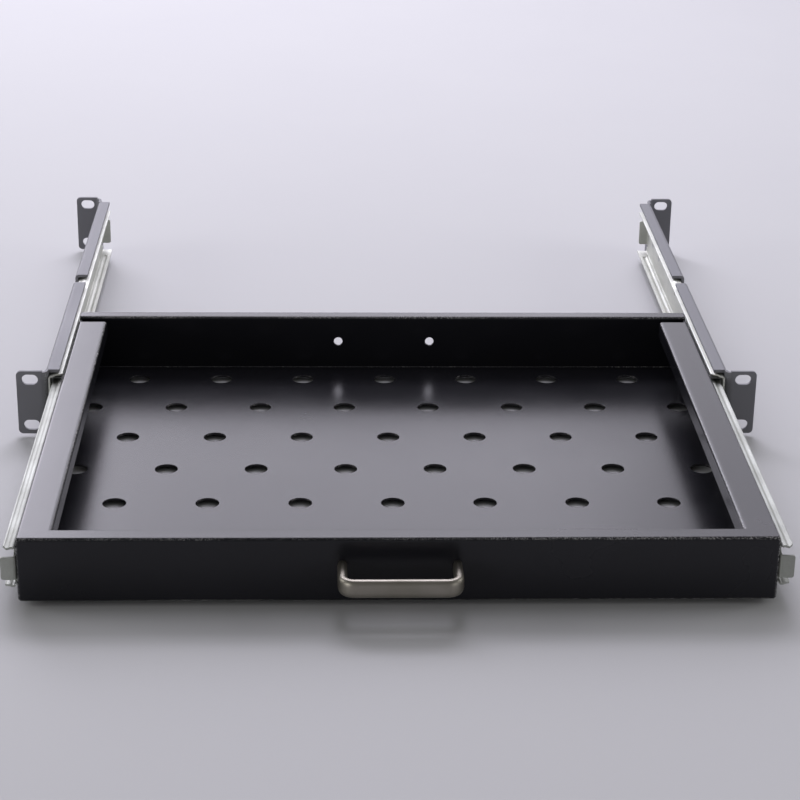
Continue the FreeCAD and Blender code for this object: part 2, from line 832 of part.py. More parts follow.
def tray_bends(body):
    """Rounded folds of the tray."""
    sheet = s.tray_sheet
    wall = half_tray - sheet
    outside = s.tray_bend + sheet
    shape = body.Tip.Shape
    names = edges_along(shape, "y", [(half_tray * side, tray_bottom) for side in (-1, 1)])
    places = [(tray_front, tray_bottom), (tray_rear, tray_bottom), (tray_front, tray_top)]
    names += edges_along(shape, "x", places)
    names += edges_along(shape, "z", [(half_tray * side, tray_front) for side in (-1, 1)])
    places = [(half_tray * side, tray_top) for side in (-1, 1)]
    names += edges_along(shape, "y", places, s.side_gap.value)
    dress("Fillet", body, "tray_folds_outside", names, outside)
    shape = body.Tip.Shape
    names = edges_along(shape, "y", [(wall * side, floor_top) for side in (-1, 1)])
    names += edges_along(shape, "x", [(tray_front + sheet, floor_top), (tray_rear - sheet, floor_top)])
    dress("Fillet", body, "tray_folds_inside", names, s.tray_bend)
    fold(body, "tray_rear_fold_outside", "x", [(tray_rear - sheet, tray_top)], outside)
    fold(body, "tray_rear_fold_inside", "x", [(tray_rear, tray_top - sheet)], s.tray_bend)


def tray_holes(body):
    """Staggered vents in the floor, and the screw and fixing holes in the walls."""
    sheet = s.tray_sheet
    long_rows = vent_rows // 2
    front_row = tray_middle - s.vent_row_pitch * (vent_rows - 1) / 2
    rows = (
        ("short", long_row_vents - 1, vent_rows - long_rows, front_row),
        ("long", long_row_vents, long_rows, front_row + s.vent_row_pitch),
    )
    for name, columns, count, start in rows:
        width = s.vent_pitch * (columns - 1)
        depth = s.vent_row_pitch * 2 * (count - 1)
        vent = circle(-width / 2, start, s.vent_diameter)
        first = cut(body, f"tray_{name}_row_vent", "z", tray_bottom, sheet, [vent])
        repeat(body, first, f"tray_{name}_row_vents", [("x", width, columns), ("y", depth, count)])
    height = s.slide_level - s.rear_hole_drop
    holes = [circle(s.rear_hole_pitch / 2 * side, height, s.rear_hole_diameter) for side in (-1, 1)]
    cut(body, "tray_rear_holes", "y", tray_rear - sheet, sheet, holes)
    bore = s.handle_screw_diameter + s.fit_gap * 2
    holes = [circle(s.handle_pitch / 2 * side, handle_level, bore) for side in (-1, 1)]
    cut(body, "tray_handle_holes", "y", tray_front, sheet, holes)
    for hand in HANDS:
        near = half_tray - sheet
        drill_across(body, f"tray_{hand}_holes", hand, near, half_tray, tray_screw_places, screw_hole)


def handle():
    """Flat bow handle with rounded edges."""
    body = new_body("handle")
    outer = s.handle_pitch / 2 + s.handle_thickness / 2
    inner = s.handle_pitch / 2 - s.handle_thickness / 2
    back = tray_front - s.handle_reach
    face = back - s.handle_thickness
    plan = [
        (-outer, face),
        (outer, face),
        (outer, tray_front),
        (inner, tray_front),
        (inner, back),
        (-inner, back),
        (-inner, tray_front),
        (-outer, tray_front),
    ]
    low = handle_level - s.handle_height / 2
    pad(body, "handle_bow", "z", low, s.handle_height, [outline(plan)])
    fold(body, "handle_bends_inside", "z", [(inner * side, back) for side in (-1, 1)], s.handle_bend)
    outside = s.handle_bend + s.handle_thickness
    fold(body, "handle_bends_outside", "z", [(outer * side, face) for side in (-1, 1)], outside)
    rims = []
    for number, edge in enumerate(body.Tip.Shape.Edges, 1):
        ends = [vertex.Point for vertex in edge.Vertexes]
        if abs(ends[0].z - ends[-1].z) < NEAR and any(abs(end.y - tray_front.value) > NEAR for end in ends):
            rims.append(f"Edge{number}")
    dress("Fillet", body, "handle_edges", rims, s.handle_edge)
    depth = s.handle_screw_grip + s.handle_bore_end
    bore = s.handle_screw_diameter + s.fit_gap * 2
    holes = [circle(s.handle_pitch / 2 * side, handle_level, bore) for side in (-1, 1)]
    cut(body, "handle_bores", "y", tray_front - depth, depth, holes)


def turned(label, profile, turn, place, run):
    """Turned fasteners: the profile, in radius and height, about an axis that turn lays over."""
    body = new_body(label)
    sketch = drawn(body, f"{label}_sketch", "y", ZERO, [outline(profile)])
    feature = body.newObject("PartDesign::Revolution", f"{label}_turned")
    feature.Profile = sketch
    feature.ReferenceAxis = (sketch, ["V_Axis"])
    feature.Angle = HALF_TURN * 2
    doc.recompute()
    repeat(body, feature, f"{label}_row", [run])
    body.Placement.Rotation = turn
    place_at(body, *place)


def nuts(label, turn, place, run):
    """Hexagon nuts in a row."""
    body = new_body(label)
    radius = s.nut_width / 2 / math.cos(math.pi / HEX)
    angles = [2 * math.pi * number / HEX for number in range(HEX)]
    corners = [(radius * math.cos(angle), radius * math.sin(angle)) for angle in angles]
    shapes = [outline(corners), circle(ZERO, ZERO, screw_hole)]
    first = pad(body, f"{label}_nut", "z", ZERO, s.nut_height, shapes)
    repeat(body, first, f"{label}_row", [run])
    body.Placement.Rotation = turn
    place_at(body, *place)


def outwards(hand):
    """Turn that lays a fastener's axis along X, away from the tray."""
    return FreeCAD.Rotation(Y_DIRECTION, QUARTER_TURN * HANDS[hand])


def sunk_profile(length):
    """Countersunk fastener with its flat head at height zero."""
    shank = s.screw_diameter / 2
    return [
        (ZERO, ZERO),
        (shank + s.countersink, ZERO),
        (shank, s.countersink),
        (shank, length),
        (ZERO, length),
    ]


def pan_profile(head, head_height, shank, length):
    """Pan-head screw with the underside of its head at height zero."""
    return [
        (ZERO, -head_height),
        (head / 2, -head_height),
        (head / 2, ZERO),
        (shank / 2, ZERO),
        (shank / 2, length),
        (ZERO, length),
    ]


def rail_fasteners(hand):
    """Rivets, adjusting screws, washers and nuts of one side bracket."""
    side = HANDS[hand]
    turn = outwards(hand)
    head = (web_inner - s.slide_sheet) * side
    grip = s.slide_sheet + s.bracket_sheet
    run = ("y", s.rivet_pitch * (RIVETS - 1), RIVETS)
    turned(f"{hand}_slide_rivets", sunk_profile(grip), turn, (head, s.rivet_start, s.slide_level), run)
    run = ("y", s.adjust_pitch * (ADJUST_SCREWS - 1), ADJUST_SCREWS)
    washer = rear_web_outer + s.clamp_gap
    nut = washer + s.washer_sheet
    length = nut + s.nut_height + s.thread_end - (web_inner - s.slide_sheet)
    place = (head, s.adjust_start, s.slide_level)
    turned(f"{hand}_adjust_screws", sunk_profile(length), turn, place, run)
    ring = [
        (screw_hole / 2, ZERO),
        (s.washer_diameter / 2, ZERO),
        (s.washer_diameter / 2, s.washer_sheet),
        (screw_hole / 2, s.washer_sheet),
    ]
    turned(f"{hand}_adjust_washers", ring, turn, (washer * side, s.adjust_start, s.slide_level), run)
    nuts(f"{hand}_adjust_nuts", turn, (nut * side, s.adjust_start, s.slide_level), run)


def tray_fasteners(hand):
    """Screws and nuts that hold an inner slide member on the side of the tray."""
    side = HANDS[hand]
    turn = FreeCAD.Rotation(Y_DIRECTION, -QUARTER_TURN * side)
    run = ("y", s.tray_screw_pitch * (tray_screws - 1), tray_screws)
    length = s.slide_sheet + s.tray_sheet + s.nut_height + s.thread_end
    profile = pan_profile(s.pan_head_diameter, s.pan_head_height, s.screw_diameter, length)
    head = (half_tray + s.slide_sheet) * side
    turned(f"{hand}_tray_screws", profile, turn, (head, tray_screw_first, s.slide_level), run)
    face = (half_tray - s.tray_sheet) * side
    nuts(f"{hand}_tray_nuts", turn, (face, tray_screw_first, s.slide_level), run)


def handle_fasteners():
    """Screws that hold the handle from inside the front wall."""
    turn = FreeCAD.Rotation(X_DIRECTION, QUARTER_TURN)
    length = s.tray_sheet + s.handle_screw_grip
    head, height = s.handle_screw_head, s.handle_screw_head_height
    profile = pan_profile(head, height, s.handle_screw_diameter, length)
    place = (-s.handle_pitch / 2, tray_front + s.tray_sheet, handle_level)
    run = ("x", s.handle_pitch * (HANDLE_SCREWS - 1), HANDLE_SCREWS)
    turned("handle_screws", profile, turn, place, run)


def check_features():
    """Stop if an object failed, or if a pocket took nothing away."""
    for item in doc.Objects:
        if "Invalid" in item.State or "Error" in item.State:
            raise RuntimeError(f"{item.Name} failed: {item.State}")
        if item.TypeId == "PartDesign::Pocket":
            taken = item.BaseFeature.Shape.Volume - item.Shape.Volume
            if taken < NEAR:
                raise RuntimeError(f"{item.Name} takes nothing away")


def write_parts(nodes):
    """Write each sub-part to a file named after its node, once all of them are sound."""
    for node in nodes:
        if node.Shape.isNull() or not node.Shape.isValid() or not node.Shape.Solids:
            raise RuntimeError(f"{node.Label} has no sound shape")
    os.makedirs("parts", exist_ok=True)
    for node in nodes:
        node.Shape.exportStep(os.path.join("parts", f"{node.Label}.step"))
        print(node.Label, len(node.Shape.Solids), "solids", round(node.Shape.Volume), "cubic millimetres")


def main():
    """Build every sub-part, check the document and write the files."""
    tray()
    handle()
    handle_fasteners()
    for hand in HANDS:
        front_bracket(hand)
        rear_bracket(hand)
        slide_outer(hand)
        slide_inner(hand)
        ball_cage(hand)
        balls(hand)
        rail_fasteners(hand)
        tray_fasteners(hand)
    doc.recompute()
    check_features()
    kinds = ("PartDesign::Body", "Part::Compound")
    write_parts([item for item in doc.Objects if item.TypeId in kinds])


main()
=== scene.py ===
"""Looks of a pull-out rack shelf: painted tray and brackets, zinc slides, satin handle and fasteners."""

import logging
import math
from dataclasses import dataclass, field
from enum import Enum
from typing import Any, Callable

import bmesh
import bpy
from mathutils import Matrix, Vector


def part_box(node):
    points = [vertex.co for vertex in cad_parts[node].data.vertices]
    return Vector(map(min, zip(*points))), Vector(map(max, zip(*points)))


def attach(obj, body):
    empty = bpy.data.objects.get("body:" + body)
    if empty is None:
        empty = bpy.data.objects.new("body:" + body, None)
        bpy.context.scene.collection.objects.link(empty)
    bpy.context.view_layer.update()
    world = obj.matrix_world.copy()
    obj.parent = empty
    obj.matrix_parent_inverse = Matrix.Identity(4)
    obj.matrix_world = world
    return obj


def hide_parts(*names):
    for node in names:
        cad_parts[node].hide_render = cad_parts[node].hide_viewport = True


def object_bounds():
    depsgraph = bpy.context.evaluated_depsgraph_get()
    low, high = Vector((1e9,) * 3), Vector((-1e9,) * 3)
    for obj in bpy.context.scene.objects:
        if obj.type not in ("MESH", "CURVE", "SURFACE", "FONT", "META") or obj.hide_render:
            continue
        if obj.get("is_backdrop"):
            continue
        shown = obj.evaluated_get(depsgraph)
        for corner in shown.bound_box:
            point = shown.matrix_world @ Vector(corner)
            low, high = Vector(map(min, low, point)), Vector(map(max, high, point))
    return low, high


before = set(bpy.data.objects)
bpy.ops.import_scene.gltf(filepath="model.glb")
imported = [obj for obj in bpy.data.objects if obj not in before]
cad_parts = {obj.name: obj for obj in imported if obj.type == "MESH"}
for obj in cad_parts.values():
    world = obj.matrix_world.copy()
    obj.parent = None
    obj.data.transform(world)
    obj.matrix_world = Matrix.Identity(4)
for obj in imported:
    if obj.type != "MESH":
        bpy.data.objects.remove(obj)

MM = 0.001
FULL_TURN = 2 * math.pi
SENSOR_WIDTH = 36.0
IMAGE_WIDTH = 800
RADIANCE_TO_WATTS = 4.0
HEX_SIDES = 6
UNIT = (0.0, 1.0)

log = logging.getLogger("rack_shelf")

Color = tuple[float, float, float]
Span = tuple[float, float]
Profile = list[Span]
Socket = bpy.types.NodeSocket


class Hand(Enum):
    """Side of the rack as seen from its front."""

    LEFT = "left"
    RIGHT = "right"

    @property
    def side(self) -> int:
        """Sign of X on this hand."""
        return -1 if self is Hand.LEFT else 1

    def node(self, piece: str) -> str:
        """Name of the CAD node of a piece on this hand."""
        return f"{self.value}_{piece}"


class Body(Enum):
    """Bodies of the frame that new pieces ride on."""

    RAILS = "rack_rails"
    DRAWER = "drawer"


class Slot(Enum):
    """Names of material slots; no piece in this script takes its finish from them."""

    FASTENER = "zinc_fastener"
    NICKEL = "satin_nickel"


class Grain(Enum):
    """Way in which the fine lines of a metal run, as the stretch of the lines along X, Y and Z."""

    ROLLED = (1.0, 0.012, 1.0)
    BRUSHED = (0.02, 0.02, 1.0)
    TURNED = (1.0, 1.0, 1.0)


class Wiring:
    """Node tree of one material, with short ways to add and join nodes."""

    BEVEL_SAMPLES = 6
    EDGE_COSINES = (0.98, 0.72)
    FOLD_COSINES = (0.97, 0.8)

    def __init__(self, name: str) -> None:
        """Start a material whose surface is an empty principled shader.

        Args:
            name: name of the material.
        """
        self.material = bpy.data.materials.new(name)
        self.material.use_nodes = True
        self.tree = self.material.node_tree
        self.shader = self.tree.nodes["Principled BSDF"]
        self.place = self.add("ShaderNodeTexCoord").outputs["Object"]

    def add(self, kind: str, **settings: Any) -> bpy.types.Node:
        """Add a node.

        Args:
            kind: Blender's name of the node type.
            settings: properties of the node.

        Returns:
            The new node.
        """
        node = self.tree.nodes.new(kind)
        for name, value in settings.items():
            setattr(node, name, value)
        return node

    def join(self, output: Socket, target: Socket) -> None:
        """Link an output to an input."""
        self.tree.links.new(output, target)

    def set_shader(self, **values: Any) -> None:
        """Set plain values on the shader's own sockets.

        Args:
            values: socket names with underscores for spaces, and their values.
        """
        for name, value in values.items():
            self.shader.inputs[name.replace("_", " ")].default_value = value

    def noise(self, scale: float, detail: float, stretch: Color = (1.0, 1.0, 1.0)) -> Socket:
        """Noise over the object.

        Args:
            scale: cells per metre.
            detail: number of finer layers.
            stretch: factor on the scale along each axis.

        Returns:
            The noise value.
        """
        mapping = self.add("ShaderNodeMapping")
        mapping.inputs["Scale"].default_value = stretch
        self.join(self.place, mapping.inputs["Vector"])
        node = self.add("ShaderNodeTexNoise")
        node.inputs["Scale"].default_value = scale
        node.inputs["Detail"].default_value = detail
        self.join(mapping.outputs["Vector"], node.inputs["Vector"])
        return node.outputs["Fac"]

    def spread(self, value: Socket, source: Span, target: Span) -> Socket:
        """Map a range of values onto another one.

        Args:
            value: the value to map.
            source: low and high end of the range it comes from.
            target: what those ends become.

        Returns:
            The mapped value.
        """
        node = self.add("ShaderNodeMapRange")
        for name, number in zip(("From Min", "From Max", "To Min", "To Max"), (*source, *target)):
            node.inputs[name].default_value = number
        self.join(value, node.inputs["Value"])
        return node.outputs["Result"]

    def math(self, operation: str, first: Socket, second: Socket | float) -> Socket:
        """Work out one value from two.

        Args:
            operation: Blender's name of the operation.
            first: first value.
            second: second value, a socket or a number.

        Returns:
            The result.
        """
        node = self.add("ShaderNodeMath", operation=operation)
        self.join(first, node.inputs[0])
        if isinstance(second, (int, float)):
            node.inputs[1].default_value = second
        else:
            self.join(second, node.inputs[1])
        return node.outputs["Value"]

    def blend(self, first: Socket, second: Socket, share: float) -> Socket:
        """Weigh two values against each other.

        Args:
            first: first value.
            second: second value.
            share: weight of the first value, from 0 to 1.

        Returns:
            The weighted sum.
        """
        weighed = self.math("MULTIPLY", first, share)
        return self.math("ADD", weighed, self.math("MULTIPLY", second, 1.0 - share))

    def mix(self, factor: Socket, first: Socket | Color, second: Socket | Color) -> Socket:
        """Mix two colours.

        Args:
            factor: share of the second colour.
            first: colour or colour socket.
            second: colour or colour socket.

        Returns:
            The mixed colour.
        """
        node = self.add("ShaderNodeMix", data_type="RGBA")
        self.join(factor, node.inputs["Factor"])
        ends = [socket for socket in node.inputs if socket.type == "RGBA"]
        for socket, color in zip(ends, (first, second)):
            if isinstance(color, tuple):
                socket.default_value = (*color, 1.0)
            else:
                self.join(color, socket)
        return next(socket for socket in node.outputs if socket.type == "RGBA")

    def edges(self, radius: float) -> tuple[Socket, Socket]:
        """Rounded normal near edges, and how much of an edge is at a point.

        Args:
            radius: radius of the rounding, in metres.

        Returns:
            The rounded normal, and a value from 0 on flat faces to 1 at edges.
        """
        bevel = self.add("ShaderNodeBevel", samples=self.BEVEL_SAMPLES)
        bevel.inputs["Radius"].default_value = radius
        flat = self.add("ShaderNodeNewGeometry").outputs["Normal"]
        dot = self.add("ShaderNodeVectorMath", operation="DOT_PRODUCT")
        self.join(bevel.outputs["Normal"], dot.inputs[0])
        self.join(flat, dot.inputs[1])
        return bevel.outputs["Normal"], self.spread(dot.outputs["Value"], self.EDGE_COSINES, UNIT)

    def folds(self) -> Socket:
        """Value from 0 on faces square to the axes to 1 on the round of a fold."""
        size = self.add("ShaderNodeVectorMath", operation="ABSOLUTE")
        self.join(self.add("ShaderNodeNewGeometry").outputs["Normal"], size.inputs[0])
        parts = self.add("ShaderNodeSeparateXYZ")
        self.join(size.outputs["Vector"], parts.inputs[0])
        level = self.math("MAXIMUM", parts.outputs["X"], parts.outputs["Y"])
        return self.spread(self.math("MAXIMUM", level, parts.outputs["Z"]), self.FOLD_COSINES, UNIT)

    def bump(
        self,
        height: Socket,
        strength: float,
        distance: float,
        normal: Socket | None = None,
    ) -> Socket:
        """Bump from a height.

        Args:
            height: height value.
            strength: strength of the bump.
            distance: depth of the full height, in metres.
            normal: normal to start from, if any.

        Returns:
            The bumped normal.
        """
        node = self.add("ShaderNodeBump")
        node.inputs["Strength"].default_value = strength
        node.inputs["Distance"].default_value = distance
        self.join(height, node.inputs["Height"])
        if normal is not None:
            self.join(normal, node.inputs["Normal"])
        return node.outputs["Normal"]

    def finish(self, color: Socket, roughness: Socket, normal: Socket) -> bpy.types.Material:
        """Join colour, roughness and normal to the shader.

        Args:
            color: colour socket.
            roughness: roughness socket.
            normal: normal socket.

        Returns:
            The material.
        """
        self.join(color, self.shader.inputs["Base Color"])
        self.join(roughness, self.shader.inputs["Roughness"])
        self.join(normal, self.shader.inputs["Normal"])
        return self.material


@dataclass(frozen=True)
class PowderCoat:
    """Semi-gloss powder coat with a fine grain, dust specks with a painted sheen on upward faces, and edges
    and folds lightened by worn specks with a painted highlight.
    """

    name: str
    deep: Color
    thin: Color
    dust_and_sheen: Color
    worn_and_highlight: Color
    gloss: Span
    shine: float
    grain_scale: float = 1500.0
    peel_scale: float = 420.0
    cloud_scale: float = 11.0
    edge_radius: float = 0.6 * MM
    cloud_range: Span = (0.3, 0.7)
    upward_range: Span = (0.6, 1.0)
    speck_range: Span = (0.48, 0.72)
    speck_strength: Span = (0.0, 0.5)
    chip_and_glint_range: Span = (0.5, 0.6)
    wear_and_highlight_range: Span = (0.42, 0.6)
    wear_and_highlight_strength: Span = (0.15, 1.0)
    peel_share: float = 0.7
    bump_strength: float = 0.16
    bump_depth: float = 0.12 * MM

    def material(self) -> bpy.types.Material:
        """Build the paint's material."""
        wiring = Wiring(self.name)
        normal, edge = wiring.edges(self.edge_radius)
        cloud = wiring.noise(self.cloud_scale, detail=5.0)
        grain = wiring.noise(self.grain_scale, detail=2.0)
        peel = wiring.noise(self.peel_scale, detail=1.0)
        color = wiring.mix(cloud, self.deep, self.thin)
        # Dust specks on upward faces, also a painted sheen: the tops are lightened to stand in for the light
        # they catch.
        color = wiring.mix(self.dust_and_sheen_share(wiring, grain, cloud), color, self.dust_and_sheen)
        # Worn paint along edges and folds, also a painted highlight: the lighter specks stand in for the
        # light a rounded edge catches.
        color = wiring.mix(self.wear_and_highlight_share(wiring, grain, cloud, edge), color, self.worn_and_highlight)
        roughness = wiring.spread(cloud, self.cloud_range, self.gloss)
        height = wiring.blend(peel, grain, self.peel_share)
        wiring.set_shader(Specular_IOR_Level=self.shine)
        bumped = wiring.bump(height, self.bump_strength, self.bump_depth, normal)
        return wiring.finish(color, roughness, bumped)

    def dust_and_sheen_share(self, wiring: Wiring, grain: Socket, cloud: Socket) -> Socket:
        """Share of dust and painted sheen, in specks on faces that look upward.

        Args:
            wiring: node tree of the paint.
            grain: fine noise.
            cloud: coarse noise.

        Returns:
            The share.
        """
        facing = wiring.add("ShaderNodeSeparateXYZ")
        wiring.join(wiring.add("ShaderNodeNewGeometry").outputs["Normal"], facing.inputs[0])
        upward = wiring.spread(facing.outputs["Z"], self.upward_range, UNIT)
        specks = wiring.spread(grain, self.speck_range, self.speck_strength)
        return wiring.math("MULTIPLY", upward, wiring.math("MULTIPLY", specks, cloud))

    def wear_and_highlight_share(self, wiring: Wiring, grain: Socket, cloud: Socket, edge: Socket) -> Socket:
        """Share of worn paint and painted highlight, in specks along edges and folds.

        Args:
            wiring: node tree of the paint.
            grain: fine noise.
            cloud: coarse noise.
            edge: how much of an edge is at a point.

        Returns:
            The share.
        """
        specks = wiring.spread(grain, self.chip_and_glint_range, UNIT)
        chips_and_glints = wiring.math("MULTIPLY", specks, wiring.math("MAXIMUM", edge, wiring.folds()))
        return wiring.math("MULTIPLY", chips_and_glints, wiring.spread(cloud, self.wear_and_highlight_range, self.wear_and_highlight_strength))


@dataclass(frozen=True)
class PlatedSteel:
    """Bright plated steel with fine lines along its grain, cloudy patches, and rounded edges whose colour is
    lightened as a painted highlight.
    """

    name: str
    bright: Color
    dull: Color
    grain: Grain
    roughness: Span
    line_scale: float = 900.0
    line_depth: float = 0.02 * MM
    line_strength: float = 0.25
    line_share: float = 0.6
    cloud_scale: float = 35.0
    dull_range: Span = (0.35, 0.7)
    patch_range: Span = (0.3, 0.7)
    edge_radius: float = 0.25 * MM
    edge_painted_highlight: float = 0.6

    def material(self) -> bpy.types.Material:
        """Build the metal's material."""
        wiring = Wiring(self.name)
        normal, edge = wiring.edges(self.edge_radius)
        lines = wiring.noise(self.line_scale, detail=3.0, stretch=self.grain.value)
        cloud = wiring.noise(self.cloud_scale, detail=4.0)
        color = wiring.mix(wiring.spread(cloud, self.dull_range, UNIT), self.bright, self.dull)
        # Painted highlight: the colour is lightened towards the bright tone along edges.
        color = wiring.mix(wiring.math("MULTIPLY", edge, self.edge_painted_highlight), color, self.bright)
        patches = wiring.blend(lines, cloud, self.line_share)
        roughness = wiring.spread(patches, self.patch_range, self.roughness)
        wiring.set_shader(Metallic=1.0)
        bumped = wiring.bump(lines, self.line_strength, self.line_depth, normal)
        return wiring.finish(color, roughness, bumped)


@dataclass(frozen=True)
class StudioGround:
    """Plain pale matt ground with a faint mottle."""

    name: str = "studio_ground"
    pale: Color = (0.5, 0.5, 0.51)
    paler: Color = (0.53, 0.53, 0.535)
    roughness: Span = (0.8, 0.9)
    mottle_scale: float = 6.0
    fine_scale: float = 300.0
    bump_strength: float = 0.05
    bump_depth: float = 0.2 * MM

    def material(self) -> bpy.types.Material:
        """Build the ground's material."""
        wiring = Wiring(self.name)
        mottle = wiring.noise(self.mottle_scale, detail=3.0)
        color = wiring.mix(mottle, self.pale, self.paler)
        roughness = wiring.spread(mottle, UNIT, self.roughness)
        fine = wiring.noise(self.fine_scale, detail=2.0)
        return wiring.finish(color, roughness, wiring.bump(fine, self.bump_strength, self.bump_depth))


@dataclass
class Finishes:
    """Materials of the shelf, made once."""

    paint: bpy.types.Material = field(
        default_factory=lambda: PowderCoat(
            "black_powder_coat",
            deep=(0.006, 0.006, 0.008),
            thin=(0.011, 0.011, 0.0145),
            dust_and_sheen=(0.055, 0.053, 0.058),
            worn_and_highlight=(0.32, 0.315, 0.31),
            gloss=(0.21, 0.28),
            shine=0.3,
        ).material()
    )
    bracket: bpy.types.Material = field(
        default_factory=lambda: PowderCoat(
            "bracket_coat",
            deep=(0.155, 0.155, 0.17),
            thin=(0.188, 0.188, 0.206),
            dust_and_sheen=(0.2, 0.2, 0.21),
            worn_and_highlight=(0.34, 0.34, 0.35),
            gloss=(0.4, 0.5),
            shine=0.2,
        ).material()
    )
    outer_zinc: bpy.types.Material = field(
        default_factory=lambda: PlatedSteel(
            "outer_zinc_plate",
            bright=(0.66, 0.668, 0.625),
            dull=(0.56, 0.567, 0.53),
            grain=Grain.ROLLED,
            roughness=(0.56, 0.72),
        ).material()
    )
    inner_zinc: bpy.types.Material = field(
        default_factory=lambda: PlatedSteel(
            "inner_zinc_plate",
            bright=(0.407, 0.419, 0.39),
            dull=(0.33, 0.338, 0.311),
            grain=Grain.ROLLED,
            roughness=(0.58, 0.7),
        ).material()
    )
    cage: bpy.types.Material = field(
        default_factory=lambda: PlatedSteel(
            "cage_steel",
            bright=(0.48, 0.48, 0.49),
            dull=(0.38, 0.38, 0.39),
            grain=Grain.ROLLED,
            roughness=(0.38, 0.52),
        ).material()
    )
    ball: bpy.types.Material = field(
        default_factory=lambda: PlatedSteel(
            "ball_steel",
            bright=(0.7, 0.7, 0.72),
            dull=(0.64, 0.64, 0.66),
            grain=Grain.TURNED,
            roughness=(0.06, 0.14),
            line_depth=0.004 * MM,
        ).material()
    )
    nickel: bpy.types.Material = field(
        default_factory=lambda: PlatedSteel(
            "satin_nickel",
            bright=(0.29, 0.27, 0.235),
            dull=(0.23, 0.215, 0.18),
            grain=Grain.BRUSHED,
            roughness=(0.38, 0.5),
            line_scale=1800.0,
        ).material()
    )
    fastener: bpy.types.Material = field(
        default_factory=lambda: PlatedSteel(
            "zinc_fastener",
            bright=(0.42, 0.42, 0.435),
            dull=(0.33, 0.335, 0.345),
            grain=Grain.TURNED,
            roughness=(0.28, 0.45),
        ).material()
    )


def dress(node: str, material: bpy.types.Material) -> None:
    """Give a CAD node its material.

    Args:
        node: name of the node.
        material: its new material.
    """
    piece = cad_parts[node]
    for material_slot in piece.material_slots:
        material_slot.material = material
    if not piece.material_slots:
        piece.data.materials.append(material)
    log.info("dressed %s in %s", node, material.name)


def lathe(mesh: bmesh.types.BMesh, rows: list[list[Vector]], capped: bool) -> None:
    """Skin rings of points with quads.

    Args:
        mesh: mesh to add to.
        rows: rings of the same number of points, in order.
        capped: cap both ends with a fan if true, else join the last ring to the first.
    """
    rings = [[mesh.verts.new(point) for point in row] for row in rows]
    pairs = list(zip(rings, rings[1:]))
    if not capped:
        pairs.append((rings[-1], rings[0]))
    for low, high in pairs:
        for number, start in enumerate(low):
            after = (number + 1) % len(low)
            mesh.faces.new((start, low[after], high[after], high[number]))
    if capped:
        for ring, flip in ((rings[0], True), (rings[-1], False)):
            middle = mesh.verts.new(sum((v.co for v in ring), Vector()) / len(ring))
            for number, start in enumerate(ring):
                after = ring[(number + 1) % len(ring)]
                mesh.faces.new((after, start, middle) if flip else (start, after, middle))


def ring(radius: float, height: float, steps: int) -> list[Vector]:
    """Points of a circle about Z."""
    turns = [FULL_TURN * number / steps for number in range(steps)]
    return [Vector((radius * math.cos(turn), radius * math.sin(turn), height)) for turn in turns]


@dataclass(frozen=True)
class Recess:
    """Tapered cross recess of a screw head."""

    span: float
    width: float
    depth: float
    taper: float = 0.5
    wing_taper: float = 0.8
    proud: float = 0.3 * MM

    def cutter(self, top: float) -> bpy.types.Object:
        """Build the tapered cross that is cut out of a head.

        Args:
            top: height of the head's outer face, with the head facing down -Z.

        Returns:
            The cutter.
        """
        mesh = bmesh.new()
        for turned in (False, True):
            corners = []
            mouth, floor = (1.0, 1.0, top - self.proud), (self.taper, self.wing_taper, top + self.depth)
            for length, width, height in (mouth, floor):
                half_span, half_width = self.span / 2 * length, self.width / 2 * width
                sides = (half_width, half_span) if turned else (half_span, half_width)
                corners.append([
                    mesh.verts.new((x * sides[0], y * sides[1], height))
                    for x, y in ((-1, -1), (1, -1), (1, 1), (-1, 1))
                ])
            outer, inner = corners
            mesh.faces.new(outer[::-1])
            mesh.faces.new(inner)
            for number in range(len(outer)):
                after = (number + 1) % len(outer)
                mesh.faces.new((outer[number], outer[after], inner[after], inner[number]))
        return new_object("recess_cutter", mesh)


def new_object(name: str, mesh: bmesh.types.BMesh) -> bpy.types.Object:
    """Turn a built mesh into an object of the scene.

    Args:
        name: name of the object.
        mesh: its mesh, which is freed.

    Returns:
        The object.
    """
    bmesh.ops.recalc_face_normals(mesh, faces=mesh.faces)
    data = bpy.data.meshes.new(name)
    mesh.to_mesh(data)
    mesh.free()
    piece = bpy.data.objects.new(name, data)
    bpy.context.scene.collection.objects.link(piece)
    return piece


def carve(piece: bpy.types.Object, cutter: bpy.types.Object) -> None:
    """Cut one object out of another for good.

    Args:
        piece: object to cut.
        cutter: object that is taken out of it, and then removed.
    """
    cut = piece.modifiers.new("cut", "BOOLEAN")
    cut.operation = "DIFFERENCE"
    cut.solver = "EXACT"
    cut.use_self = True
    cut.object = cutter
    apply_modifiers(piece)
    bpy.data.objects.remove(cutter)


def apply_modifiers(piece: bpy.types.Object) -> None:
    """Make the result of an object's modifiers its own mesh."""
    bpy.context.view_layer.update()
    graph = bpy.context.evaluated_depsgraph_get()
    data = bpy.data.meshes.new_from_object(piece.evaluated_get(graph))
    piece.modifiers.clear()
    piece.data = data


def smooth(piece: bpy.types.Object, degrees: float) -> None:
    """Shade an object smoothly, apart from edges sharper than an angle."""
    for polygon in piece.data.polygons:
        polygon.use_smooth = True
    piece.data.set_sharp_from_angle(angle=math.radians(degrees))


